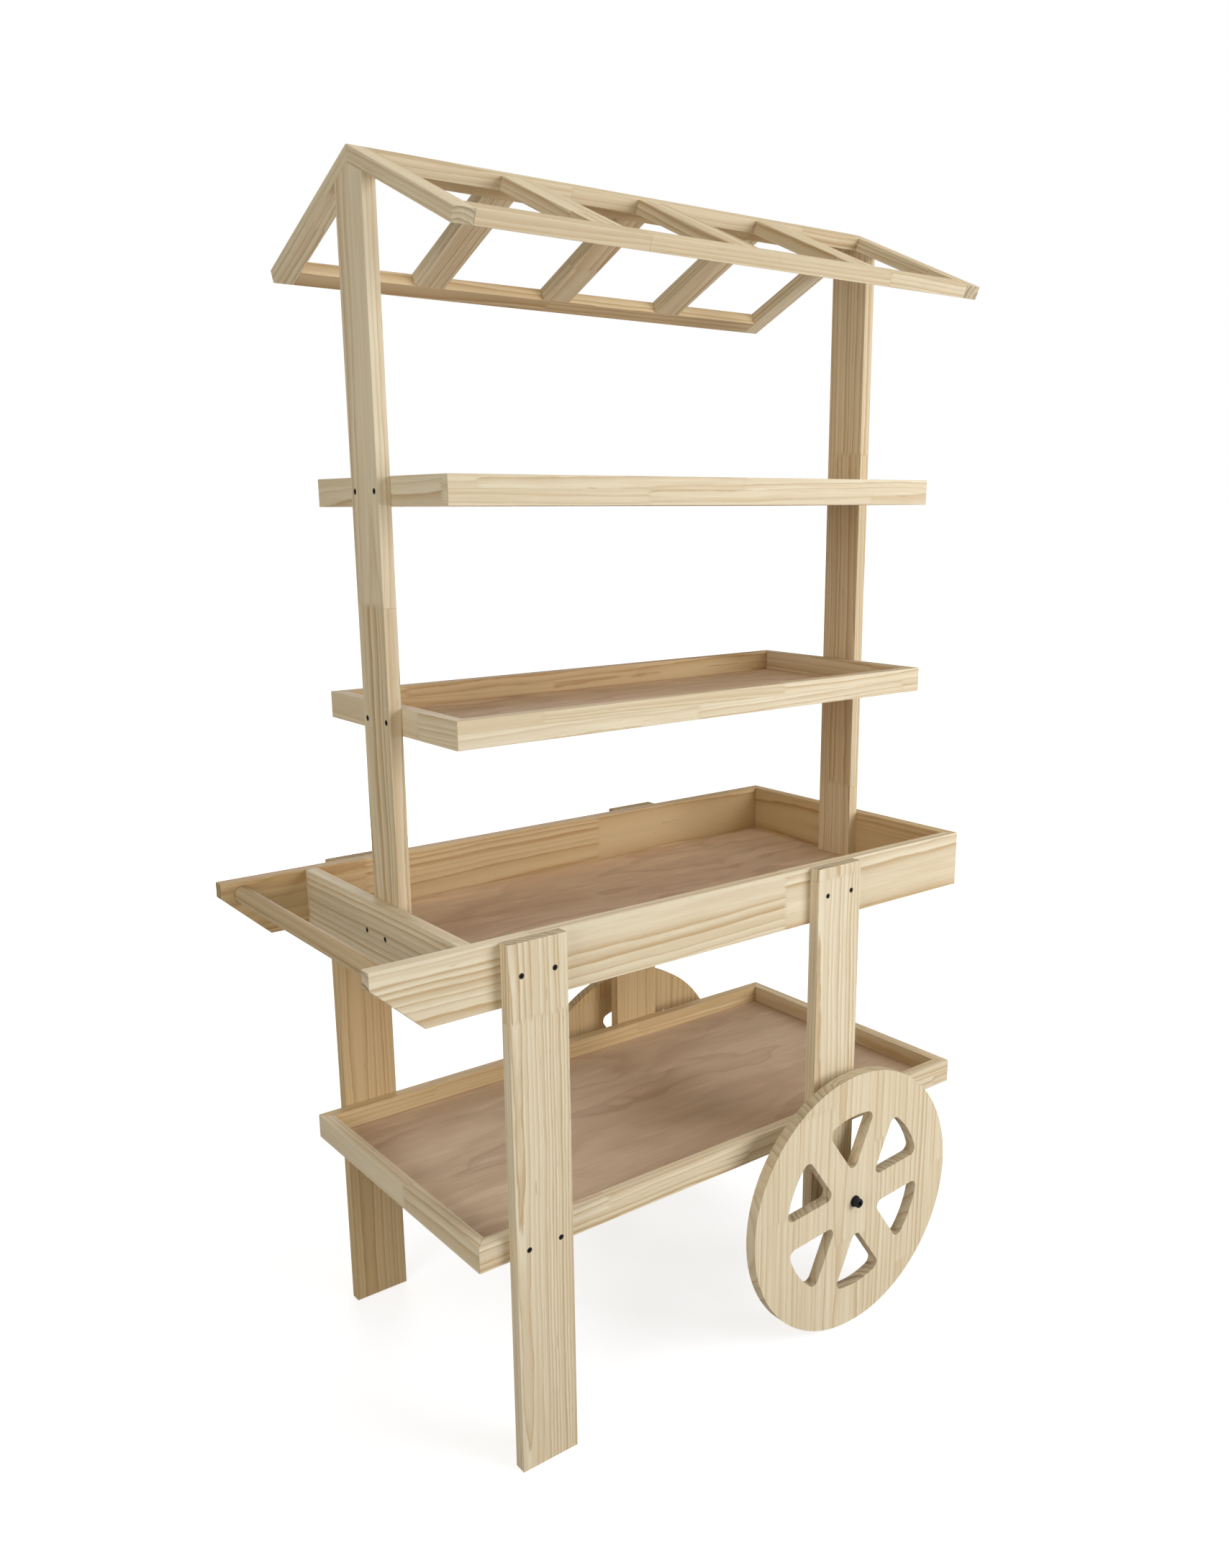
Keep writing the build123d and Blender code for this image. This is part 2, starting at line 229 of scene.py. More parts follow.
def apply_modifier(obj, kind, **settings):
    """Adds one modifier with its settings and applies it."""
    only(obj)
    modifier = obj.modifiers.new(kind.title(), kind)
    for key, value in settings.items():
        setattr(modifier, key, value)
    bpy.ops.object.modifier_apply(modifier=modifier.name)
    return obj


def cut(obj, cutter):
    """Takes the cutter's volume away from a piece."""
    apply_modifier(obj, "BOOLEAN", operation="DIFFERENCE", solver="EXACT", object=cutter)
    bpy.data.objects.remove(cutter)


def ease(obj, radius, segments, shortest=0.0):
    """Rounds the sharp edges that are no shorter than shortest, and leaves the flats flat."""
    only(obj)
    bpy.ops.object.mode_set(mode="EDIT")
    bpy.ops.mesh.select_mode(type="EDGE")
    bpy.ops.mesh.select_all(action="DESELECT")
    bpy.ops.mesh.edges_select_sharp(sharpness=SHARP)
    bpy.ops.object.mode_set(mode="OBJECT")
    points = obj.data.vertices
    for edge in obj.data.edges:
        a, b = (points[i].co for i in edge.vertices)
        edge.select = edge.select and (a - b).length >= shortest
    bpy.ops.object.mode_set(mode="EDIT")
    bpy.ops.mesh.bevel(
        offset=radius, segments=segments, affect="EDGES", clamp_overlap=True, miter_outer="ARC"
    )
    bpy.ops.object.mode_set(mode="OBJECT")
    bpy.ops.object.shade_smooth_by_angle(angle=SHARP)
    return apply_modifier(obj, "WEIGHTED_NORMAL", keep_sharp=True, weight=100)


def merged(node, name):
    """A copy of a CAD node with its loose triangles joined into whole faces."""
    obj = copy_of(NODES[node], name)
    bpy.ops.object.mode_set(mode="EDIT")
    bpy.ops.mesh.select_all(action="SELECT")
    bpy.ops.mesh.remove_doubles(threshold=1e-5)
    bpy.ops.mesh.dissolve_limited(angle_limit=radians(0.3))
    bpy.ops.object.mode_set(mode="OBJECT")
    return obj


def place(obj, body, slot, *nodes):
    """Fixes a finished piece to its body, in place of its CAD nodes."""
    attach(obj, body)
    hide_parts(*nodes)


def separate_solids(node):
    """The corner points of each separate solid in a CAD node."""
    obj = merged(node, "solids")
    bpy.ops.object.mode_set(mode="EDIT")
    bpy.ops.mesh.select_all(action="SELECT")
    bpy.ops.mesh.separate(type="LOOSE")
    bpy.ops.object.mode_set(mode="OBJECT")
    solids = []
    for part in list(bpy.context.selected_objects):
        solids.append([v.co.copy() for v in part.data.vertices])
        bpy.data.objects.remove(part)
    return sorted(solids, key=lambda points: tuple(round(c, 4) for c in min(points, key=tuple)))


# ---- material helpers ------------------------------------------------------------------------------------

class Graph:
    """Adds nodes to a tree. An input is a number, a colour or another node's output."""

    def __init__(self, tree):
        self.tree = tree

    def node(self, kind, inputs=(), **settings):
        node = self.tree.nodes.new(kind)
        for key, value in settings.items():
            setattr(node, key, value)
        for key, value in dict(inputs).items():
            if isinstance(value, bpy.types.NodeSocket):
                self.tree.links.new(value, node.inputs[key])
            else:
                node.inputs[key].default_value = value
        return node

    def math(self, operation, *values, clamp=False):
        return self.node("ShaderNodeMath", enumerate(values), operation=operation, use_clamp=clamp).outputs[0]

    def vector(self, operation, *values):
        return self.node("ShaderNodeVectorMath", enumerate(values), operation=operation).outputs[0]

    def split(self, vector):
        return self.node("ShaderNodeSeparateXYZ", {0: vector}).outputs[:3]

    def join(self, x, y, z):
        return self.node("ShaderNodeCombineXYZ", {0: x, 1: y, 2: z}).outputs[0]

    def mix(self, share, a, b, blend="MIX"):
        node = self.node("ShaderNodeMix", {0: share, 6: a, 7: b}, data_type="RGBA", blend_type=blend)
        return node.outputs[2]

    def remap(self, value, low, high, to_low=0.0, to_high=1.0):
        """A smooth step from one pair of limits to another."""
        inputs = {0: value, 1: low, 2: high, 3: to_low, 4: to_high}
        return self.node("ShaderNodeMapRange", inputs, interpolation_type="SMOOTHSTEP").outputs[0]

    def noise(self, vector, scale, detail=2.0, rough=0.5, stretch=(1, 1, 1)):
        """Noise between 0 and 1, with its own stretch along each axis."""
        moved = self.vector("MULTIPLY", vector, tuple(scale * s for s in stretch))
        inputs = {"Vector": moved, "Scale": 1.0, "Detail": detail, "Roughness": rough}
        return self.node("ShaderNodeTexNoise", inputs).outputs["Fac"]

    def random(self, vector):
        """Three random numbers that stay the same over a cell."""
        cell = self.node("ShaderNodeTexWhiteNoise", {"Vector": vector}, noise_dimensions="3D")
        return self.split(cell.outputs[1])

    def curve(self, value, points):
        """A soft ramp through (position, height) points."""
        ramp = self.node("ShaderNodeValToRGB", {0: value})
        stops = ramp.color_ramp.elements
        while len(stops) < len(points):
            stops.new(0.5)
        for stop, (position, height) in zip(stops, points):
            stop.position = position
            stop.color = (height, height, height, 1)
        return ramp.outputs[0]


def rgba(colour_value, factor=1.0):
    return tuple(c * factor for c in colour_value) + (1.0,)


WOOD_INPUTS = {
    "Board": "NodeSocketVector",      # metres: x along the grain, y across the board, z through it
    "Facing": "NodeSocketVector",     # the surface's normal, on the same axes
    "Seed": "NodeSocketFloat",
    "Stave length": "NodeSocketFloat",
    "Stave width": "NodeSocketFloat",
    "Joint": "NodeSocketFloat",       # where along the board one finger joint is
    "Seam": "NodeSocketFloat",        # where across the board one glued seam is
    "Ring": "NodeSocketFloat",        # ring spacing
    "Warmth": "NodeSocketFloat",      # 0 for the palest boards, 1 for the warmest; high values paint shade
    "Figure": "NodeSocketFloat",      # contrast of the rings
    "Round": "NodeSocketFloat",       # 1 where the outline is round, so that edges aren't found by facing
    "Tone": "NodeSocketFloat",        # brightness of the wood, 1 for the plain colours
}
WOOD_OUTPUTS = {"Color": "NodeSocketColor", "Roughness": "NodeSocketFloat", "Height": "NodeSocketFloat"}

PLAIN_LOOK = {
    "Seed": 1.0,
    "Stave length": 0.46,
    "Stave width": 1.0,
    "Joint": 0.1,
    "Seam": -0.5,
    "Ring": 0.0085,
    "Warmth": 0.1,
    "Figure": 1.0,
    "Round": 0.0,
    "Tone": 1.0,
}

# Darkness across one growth ring, from the pith side outwards, and across one band of veneer.
RING_RAMP = [(0.0, 0.12), (0.08, 0.0), (0.30, 0.08), (0.68, 0.50), (0.90, 1.0), (1.0, 0.12)]
BAND_RAMP = [(0.0, 0.25), (0.25, 0.0), (0.7, 0.65), (0.9, 1.0), (1.0, 0.25)]


def new_wood_group(name):
    """An empty node group with the sockets of a wood, and what comes in through them."""
    tree = bpy.data.node_groups.new(name, "ShaderNodeTree")
    for socket, kind in WOOD_INPUTS.items():
        tree.interface.new_socket(socket, in_out="INPUT", socket_type=kind)
    for socket, kind in WOOD_OUTPUTS.items():
        tree.interface.new_socket(socket, in_out="OUTPUT", socket_type=kind)
    graph = Graph(tree)
    return graph, graph.node("NodeGroupInput").outputs


def facing_masks(g, facing, is_round):
    """Share of end grain, and share of eased edge, from which way the surface faces."""
    nx, ny, nz = (g.math("ABSOLUTE", c) for c in g.split(facing))
    end = g.remap(nx, 0.40, 0.90)
    biggest = g.math("MAXIMUM", nx, g.math("MAXIMUM", ny, nz))
    flat_edge = g.math("MULTIPLY", g.remap(biggest, 0.80, 0.985, 1.0, 0.0), g.math("SUBTRACT", 1.0, is_round))
    turning = g.math("MULTIPLY", g.remap(nz, 0.05, 0.3), g.remap(nz, 0.75, 0.97, 1.0, 0.0))
    return end, g.math("ADD", flat_edge, g.math("MULTIPLY", turning, is_round))


def edge_distance(g, share, size):
    """How far a point is from the nearer end of its cell, from its place in cells and the cell's size."""
    inside = g.math("ABSOLUTE", g.math("SUBTRACT", g.math("FRACT", share), 0.5))
    return g.math("MULTIPLY", g.math("SUBTRACT", 0.5, inside), size)


def stave_cells(g, source, pine):
    """Finger-jointed lengths: a random number for each stave, and a mask of the glue lines."""
    x, y, _ = g.split(source["Board"])
    across = g.math("DIVIDE", g.math("SUBTRACT", y, source["Seam"]), source["Stave width"])
    column = g.math("FLOOR", across)
    zigzag = g.math("DIVIDE", g.math("PINGPONG", y, pine.joint_pitch / 2), pine.joint_pitch / 2)
    shifted = g.math("MULTIPLY_ADD", zigzag, pine.joint_depth, x)
    along = g.math("DIVIDE", g.math("SUBTRACT", shifted, source["Joint"]), source["Stave length"])
    along = g.math("MULTIPLY_ADD", column, 0.61, along)
    joint = g.remap(edge_distance(g, along, source["Stave length"]), 0.0, 0.0010, 0.45, 0.0)
    seam = g.remap(edge_distance(g, across, source["Stave width"]), 0.0, 0.0005, 0.3, 0.0)
    cell = g.join(g.math("FLOOR", along), column, source["Seed"])
    return g.random(cell), g.math("MAXIMUM", joint, seam)


def pine_group(pine):
    """Pine as a solid: rings round each stave's own pith, fibres, resin ducts, joints, ends and edges."""
    g, source = new_wood_group("Planed pine")
    end, edge = facing_masks(g, source["Facing"], source["Round"])
    (r1, r2, r3), glue_line = stave_cells(g, source, pine)
    jump = g.join(g.math("MULTIPLY", r2, 9.0), g.math("MULTIPLY", r3, 5.0), g.math("MULTIPLY", r1, 7.0))
    wood = g.vector("ADD", source["Board"], jump)

    # How far the wood here grew from its pith, with the trunk's lean, waves and ragged line.
    x, y, z = g.split(source["Board"])
    pith_y = g.math("MULTIPLY_ADD", g.math("SUBTRACT", r1, 0.5), 0.16, y)
    pith_z = g.math("ADD", g.math("MULTIPLY_ADD", r2, 0.07, 0.018), z)
    squares = g.math("MULTIPLY", pith_y, pith_y), g.math("MULTIPLY", pith_z, pith_z)
    radius = g.math("SQRT", g.math("ADD", *squares))
    radius = g.math("MULTIPLY_ADD", x, g.math("MULTIPLY", g.math("SUBTRACT", r3, 0.5), 0.030), radius)
    wave = g.noise(wood, 3.0, 2.0, 0.5, (0.8, 4, 4))
    ripple = g.noise(wood, 9.0, 3.0, 0.55, (0.5, 5, 5))
    ragged = g.noise(wood, 1.0, 2.0, 0.6, (26, 260, 260))
    for noise, size in ((wave, 0.016), (ripple, 0.0028), (ragged, 0.0022)):
        radius = g.math("MULTIPLY_ADD", g.math("SUBTRACT", noise, 0.5), size, radius)

    # Rings of uneven width, each with its own darkness.
    spacing = g.math("MULTIPLY", source["Ring"], g.math("MULTIPLY_ADD", r3, 0.6, 0.7))
    rings = g.math("DIVIDE", radius, spacing)
    uneven = g.noise(g.join(rings, g.math("MULTIPLY", r1, 9.0), 0.0), 0.75, 1.0)
    rings = g.math("MULTIPLY_ADD", uneven, 1.5, rings)
    ring_tone = g.random(g.join(g.math("FLOOR", rings), r1, 0.0))[0]
    late = g.curve(g.math("FRACT", rings), RING_RAMP)
    strength = g.math("MULTIPLY_ADD", ring_tone, 0.95, 0.40)
    strength = g.math("MULTIPLY", strength, g.math("MULTIPLY_ADD", r2, 0.4, 0.85))
    strength = g.math("MULTIPLY", strength, source["Figure"])
    late = g.math("MULTIPLY", late, g.math("MULTIPLY_ADD", end, 0.25, strength), clamp=True)

    # Fibres, brown streaks, resin ducts, short ticks and clouds of colour, all drawn out along the grain.
    fibre = g.noise(wood, 1.0, 3.0, 0.6, (14, 700, 700))
    streak = g.noise(wood, 1.0, 2.0, 0.6, (3.5, 110, 110))
    side_grain = g.math("SUBTRACT", 1.0, end)
    duct = g.remap(g.noise(wood, 1.0, 1.0, 0.5, (38, 1150, 1150)), 0.715, 0.80)
    duct = g.math("MULTIPLY", duct, g.math("MULTIPLY", side_grain, g.math("MULTIPLY_ADD", late, 0.5, 0.2)))
    tick = g.remap(g.noise(wood, 1.0, 1.0, 0.5, (17, 330, 330)), 0.755, 0.80, 0.0, 0.5)
    tick = g.math("MULTIPLY", tick, side_grain)
    cloud = g.noise(wood, 1.0, 2.0, 0.5, (1.6, 14, 14))

    late_tone = g.mix(end, rgba(pine.late), rgba(pine.end_grain))
    tone = g.mix(late, rgba(pine.early), late_tone)
    warm = g.mix(g.remap(cloud, 0.3, 0.7), (1.0, 0.985, 0.95, 1), (0.97, 0.93, 0.86, 1))
    tone = g.mix(1.0, tone, warm, "MULTIPLY")
    stave_tone = g.mix(r1, (0.95, 0.92, 0.87, 1), (1.03, 1.03, 1.03, 1))
    tone = g.mix(1.0, tone, stave_tone, "MULTIPLY")
    # Warm, darker tint from Warmth: painted shade on boards that face away from the lights
    tone = g.mix(source["Warmth"], tone, g.mix(1.0, tone, rgba(pine.warm), "MULTIPLY"))
    tone = g.mix(g.remap(fibre, 0.3, 0.7, 0.0, 0.17), tone, rgba(pine.late))
    tone = g.mix(g.remap(streak, 0.40, 0.70, 0.0, 0.34), tone, rgba(pine.late, 1.05))
    tone = g.mix(g.math("MAXIMUM", duct, tick), tone, rgba(pine.late, 0.42))
    tone = g.mix(end, tone, g.mix(1.0, tone, (0.80, 0.79, 0.76, 1), "MULTIPLY"))
    tone = g.mix(g.math("MULTIPLY", edge, 0.14), tone, rgba(pine.early, 1.05))
    tone = g.mix(glue_line, tone, g.mix(1.0, tone, (0.66, 0.60, 0.52, 1), "MULTIPLY"))
    tone = g.vector("MULTIPLY", tone, source["Tone"])

    rough = g.math("MULTIPLY_ADD", fibre, 0.16, 0.56)
    rough = g.math("MULTIPLY_ADD", late, -0.07, rough)
    rough = g.math("MULTIPLY_ADD", end, 0.16, rough, clamp=True)
    height = g.math("MULTIPLY_ADD", late, 0.35, g.math("MULTIPLY", fibre, 0.5))
    height = g.math("MULTIPLY_ADD", duct, -0.9, height)
    height = g.math("MULTIPLY_ADD", glue_line, -0.6, height)
    g.node("NodeGroupOutput", {"Color": tone, "Roughness": rough, "Height": height})
    return g.tree


def veneer_group(veneer):
    """Rotary-cut veneer: broad flowing bands, fine pores along the grain and a soft sheen."""
    g, source = new_wood_group("Floor veneer")
    end, edge = facing_masks(g, source["Facing"], source["Round"])
    seed = g.math("MULTIPLY", source["Seed"], 3.1)
    wood = g.vector("ADD", source["Board"], g.join(seed, seed, 0.0))
    warp = g.noise(wood, 1.0, 3.0, 0.55, (2.2, 5.5, 5.5))
    slow = g.noise(wood, 1.0, 2.0, 0.5, (0.9, 2.6, 2.6))
    bands = g.math("MULTIPLY_ADD", warp, 7.0, g.math("MULTIPLY", slow, 7.0))
    figure = g.curve(g.math("FRACT", bands), BAND_RAMP)
    band_tone = g.random(g.join(g.math("FLOOR", bands), seed, 0.0))[0]
    figure = g.math("MULTIPLY", figure, g.math("MULTIPLY_ADD", band_tone, 0.6, 0.2))
    blotch = g.remap(g.noise(wood, 1.0, 3.0, 0.6, (1.3, 6.5, 6.5)), 0.32, 0.70)
    fibre = g.noise(wood, 1.0, 3.0, 0.6, (12, 420, 420))
    pore = g.remap(g.noise(wood, 1.0, 1.0, 0.5, (45, 900, 900)), 0.70, 0.80)
    glint = g.remap(g.noise(wood, 1.0, 4.0, 0.6, (5.0, 38, 38)), 0.52, 0.74)

    share = g.math("MULTIPLY", figure, 0.65)
    share = g.math("ADD", g.math("MULTIPLY", blotch, 0.40), share, clamp=True)
    share = g.math("MULTIPLY_ADD", share, 0.85, 0.23, clamp=True)
    tone = g.mix(share, rgba(veneer.pale), rgba(veneer.dark))
    tone = g.mix(g.math("MULTIPLY", glint, 0.30), tone, rgba(veneer.pale, 1.25))
    tone = g.mix(g.remap(fibre, 0.35, 0.7, 0.0, 0.22), tone, rgba(veneer.dark, 0.8))
    tone = g.mix(g.math("MULTIPLY", pore, 0.45), tone, rgba(veneer.dark, 0.45))
    tone = g.mix(g.math("MULTIPLY", end, 0.4), tone, rgba(veneer.dark))
    tone = g.mix(g.math("MULTIPLY", edge, 0.3), tone, rgba(veneer.pale, 1.1))
    tone = g.vector("MULTIPLY", tone, source["Tone"])
    rough = g.math("MULTIPLY_ADD", fibre, 0.16, 0.52)
    rough = g.math("MULTIPLY_ADD", glint, -0.08, rough, clamp=True)
    height = g.math("MULTIPLY_ADD", pore, -0.8, g.math("MULTIPLY", fibre, 0.5))
    g.node("NodeGroupOutput", {"Color": tone, "Roughness": rough, "Height": height})
    return g.tree


# Each kind of wood: its node group's name and maker, the scene's settings for it, and its specular level.
WOOD_KINDS = {
    "pine": ("Planed pine", pine_group, "cart_pine", 0.32),
    "veneer": ("Floor veneer", veneer_group, "cart_veneer", 0.16),
}


def wood_material(name, kind, centre, along, across, **look):
    """A wood finish for one piece, with the pattern centred on it and turned along its grain."""
    group_name, make_group, settings, specular = WOOD_KINDS[kind]
    group = bpy.data.node_groups.get(group_name) or make_group(getattr(bpy.context.scene, settings))
    material = bpy.data.materials.new(name)
    material.use_nodes = True
    g = Graph(material.node_tree)
    g.tree.nodes.clear()
    along, across = Vector(along).normalized(), Vector(across).normalized()
    turn = Matrix((along, across, along.cross(across)))
    angles = turn.to_euler()
    coords = g.node("ShaderNodeTexCoord")
    board = g.node(
        "ShaderNodeMapping",
        {"Vector": coords.outputs["Object"], "Location": -(turn @ Vector(centre)), "Rotation": angles},
    )
    facing = g.node(
        "ShaderNodeMapping", {"Vector": coords.outputs["Normal"], "Rotation": angles}, vector_type="NORMAL"
    )
    wood = g.node("ShaderNodeGroup", node_tree=group)
    g.tree.links.new(board.outputs[0], wood.inputs["Board"])
    g.tree.links.new(facing.outputs[0], wood.inputs["Facing"])
    look = {key.replace("_", " "): value for key, value in look.items()}
    for key, value in {**PLAIN_LOOK, **look}.items():
        wood.inputs[key].default_value = value
    bump = g.node("ShaderNodeBump", {"Strength": 0.35, "Distance": 0.0006, "Height": wood.outputs["Height"]})
    shader = g.node(
        "ShaderNodeBsdfPrincipled",
        {
            "Base Color": wood.outputs["Color"],
            "Roughness": wood.outputs["Roughness"],
            "Normal": bump.outputs[0],
            "Specular IOR Level": specular,
        },
    )
    g.node("ShaderNodeOutputMaterial", {"Surface": shader.outputs[0]})
    return material


def metal_material(name, metal):
    """Black-coated steel, a little worn in random specks."""
    material = bpy.data.materials.new(name)
    material.use_nodes = True
    g = Graph(material.node_tree)
    g.tree.nodes.clear()
    place_in = g.node("ShaderNodeTexCoord").outputs["Object"]
    grit = g.noise(place_in, 1800.0, 3.0, 0.6)
    smear = g.noise(place_in, 160.0, 2.0, 0.5)
    worn = g.math("MULTIPLY", g.remap(grit, 0.56, 0.72), g.remap(smear, 0.45, 0.65), clamp=True)
    bump = g.node("ShaderNodeBump", {"Strength": 0.3, "Distance": 0.0002, "Height": grit})
    shader = g.node(
        "ShaderNodeBsdfPrincipled",
        {
            "Base Color": g.mix(worn, rgba(metal.black), rgba(metal.worn)),
            "Roughness": g.remap(smear, 0.3, 0.7, 0.50, 0.68),
            "Metallic": 0.0,
            "Specular IOR Level": 0.22,
            "Normal": bump.outputs[0],
        },
    )
    g.node("ShaderNodeOutputMaterial", {"Surface": shader.outputs[0]})
    return material


def finish(obj, material):
    """Gives a piece its one material."""
    obj.data.materials.clear()
    obj.data.materials.append(material)


# ---- boards ----------------------------------------------------------------------------------------------

def middle(node):
    """Centre of a CAD node's box."""
    low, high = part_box(node)
    return (low + high) / 2


def seed_of(node):
    """A steady number for each node, so that no two boards share their grain."""
    return 1.0 + 1.37 * sorted(NODES).index(node)


def board(node, along, across, **look):
    """A planed board: the CAD node's shape with eased arrises and its own grain."""
    obj = ease(merged(node, f"{node}_dressed"), bpy.context.scene.cart_pine.arris, 2, 0.010)
    seed = seed_of(node)
    look = {"Seed": seed, "Joint": 0.46 * (seed * 0.377 % 1 - 0.5), **look}
    finish(obj, wood_material(node, "pine", middle(node), along, across, **look))
    place(obj, BODY, "pine_board", node)


def veneered_floor(tray):
    """A tray's plywood floor with its figure along the cart."""
    node = f"{tray}_floor"
    obj = ease(merged(node, f"{node}_panel"), bpy.context.scene.cart_veneer.arris, 1)
    look = {"Seed": seed_of(node), "Tone": FLOOR_TONE[tray]}
    finish(obj, wood_material(node, "veneer", middle(node), X, Y, **look))
    place(obj, BODY, "plywood", node)


class CART_OT_main_tray(bpy.types.Operator):
    """Side boards with handle horns, end boards and floor of the main tray"""

    bl_idname = "cart.main_tray"
    bl_label = "Main tray"

    def execute(self, context):
        for side in SIDES:
            look = {"Seed": SIDE_BOARD_SEED[side], "Stave_length": 0.475, "Joint": 0.154, "Ring": 0.0105}
            # The side's warmth paints shade on the back board
            board(f"side_board_{side}", X, Z, Warmth=PAINTED_SHADE_WARMTH[side], **look)
        board("end_board_handle", Y, Z, Warmth=0.15, Ring=0.0095)
        # The far end board's high warmth is painted shade
        board("end_board_far", Y, Z, Warmth=0.9, Ring=0.0095)
        veneered_floor("tray")
        return {"FINISHED"}


class CART_OT_framed_trays(bpy.types.Operator):
    """Mitred rails and floors of the lower tray and the two shelves"""

    bl_idname = "cart.framed_trays"
    bl_label = "Lower tray and shelves"

    def execute(self, context):
        for tray in ("lower_tray", "low_shelf", "high_shelf"):
            # The back and far rails get painted shade through their warmth
            for side in SIDES:
                look = {"Stave_width": 0.06, "Seam": 0.002, "Warmth": PAINTED_SHADE_WARMTH[side], "Figure": 0.8}
                board(f"{tray}_rail_{side}", X, Z, **look)
            for end in ("handle", "far"):
                board(f"{tray}_rail_{end}", Y, Z, Warmth=PAINTED_SHADE_WARMTH[end], Figure=0.8)
            veneered_floor(tray)
        return {"FINISHED"}


class CART_OT_uprights(bpy.types.Operator):
    """Four legs and the two posts"""

    bl_idname = "cart.uprights"
    bl_label = "Legs and posts"

    def execute(self, context):
        # The back legs and the far post get painted shade through their warmth
        for side in SIDES:
            for end in ("handle", "wheel"):
                board(f"leg_{end}_{side}", Z, X, Stave_length=0.8, Joint=0.30, Warmth=PAINTED_SHADE_WARMTH[side], Ring=0.007)
        for end in ("handle", "far"):
            board(f"post_{end}", Z, Y, Stave_length=0.6, Warmth=PAINTED_SHADE_WARMTH[end], Ring=0.007)
        return {"FINISHED"}


class CART_OT_roof(bpy.types.Operator):
    """Ridge rails, eave rails and rafters of the two roof slopes"""

    bl_idname = "cart.roof"
    bl_label = "Roof frame"

    def execute(self, context):
        for side, s in SIDES.items():
            down = self.slope(side, s)
            for rail in ("ridge_rail", "eave_rail"):
                # Rails of the back slope get a darker, warmer tint as painted shade
                board(f"roof_{side}_{rail}", X, down, Warmth=0.25 + 0.45 * PAINTED_SHADE_WARMTH[side], Figure=0.8)
            for rafter in ("end_rafter_handle", "end_rafter_far", "rafter_1", "rafter_2", "rafter_3"):
                board(f"roof_{side}_{rafter}", down, X, Warmth=0.15, Figure=0.9)
        return {"FINISHED"}

    def slope(self, side, s):
        """Direction down one slope, from the ends of an end rafter's top face."""
        points = [v.co for v in NODES[f"roof_{side}_end_rafter_far"].data.vertices]
        ridge = max(points, key=lambda p: p.z)
        eave = max(points, key=lambda p: s * p.y)
        return Vector((0, eave.y - ridge.y, eave.z - ridge.z)).normalized()


# ---- handle bar ------------------------------------------------------------------------------------------

class CART_OT_handle_bar(bpy.types.Operator):
    """Round handle bar, turned from one length of wood"""

    bl_idname = "cart.handle_bar"
    bl_label = "Handle bar"

    def execute(self, context):
        handle = context.scene.cart_handle
        low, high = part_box("handle_bar")
        centre, radius = middle("handle_bar"), (high.x - low.x) / 2
        start = Vector((centre.x, low.y, centre.z))
        bar = add_cylinder("handle_bar_turned", start, Y, high.y - low.y, radius, 96)
        ease(bar, handle.edge, 3)
        look = {"Seed": 61.0, "Stave_length": 2.0, "Joint": -1.0, "Warmth": 0.9, "Tone": handle.tone}
        finish(bar, wood_material("handle_bar", "pine", centre, Y, X, Round=1.0, **look))
        place(bar, BODY, "dowel", "handle_bar")
        return {"FINISHED"}


# ---- wheels ----------------------------------------------------------------------------------------------

def arc_points(centre, radius, start, end, steps):
    return [
        (centre[0] + radius * cos(a), centre[1] + radius * sin(a))
        for a in (start + (end - start) * i / steps for i in range(steps + 1))
    ]


def cutout_outline(wheel):
    """Outline of one cut-out about +X: sides along the spokes, an outer arc and rounded corners."""
    half = pi / wheel.cutouts
    apex = wheel.spoke / 2 / sin(half)
    apex_centre = apex + wheel.apex / sin(half)
    reach = wheel.arc - wheel.corner
    swing = half - asin((wheel.spoke / 2 + wheel.corner) / reach)
    corner_centre = (reach * cos(swing), reach * sin(swing))
    upper = arc_points((apex_centre, 0), wheel.apex, pi, pi / 2 + half, 10)
    upper += arc_points(corner_centre, wheel.corner, pi / 2 + half, swing, 12)
    upper += arc_points((0, 0), wheel.arc, swing, 0, 12)[1:]
    lower = [(x, -y) for x, y in reversed(upper[1:-1])]
    return upper + lower


def cutout_cutter(wheel, centre, thick, angle):
    """A prism of the cut-out's outline, turned to its place in the wheel."""
    mesh = bpy.data.meshes.new("cutter")
    outline = cutout_outline(wheel)
    mesh.from_pydata([(x, -thick, z) for x, z in outline], [], [tuple(range(len(outline)))])
    obj = bpy.data.objects.new("cutter", mesh)
    bpy.context.scene.collection.objects.link(obj)
    only(obj)
    bpy.ops.object.mode_set(mode="EDIT")
    bpy.ops.mesh.select_all(action="SELECT")
    bpy.ops.mesh.extrude_region_move(TRANSFORM_OT_translate={"value": (0, 2 * thick, 0)})
    bpy.ops.mesh.select_all(action="SELECT")
    bpy.ops.mesh.normals_make_consistent(inside=False)
    bpy.ops.object.mode_set(mode="OBJECT")
    obj.rotation_euler = (0, -angle, 0)
    obj.location = centre
    return settle(obj)


def bore_radius(node):
    """Radius of a wheel's bore, from the CAD node's innermost points."""
    centre = middle(node)
    points = (v.co - centre for v in NODES[node].data.vertices)
    return min((p.x ** 2 + p.z ** 2) ** 0.5 for p in points)


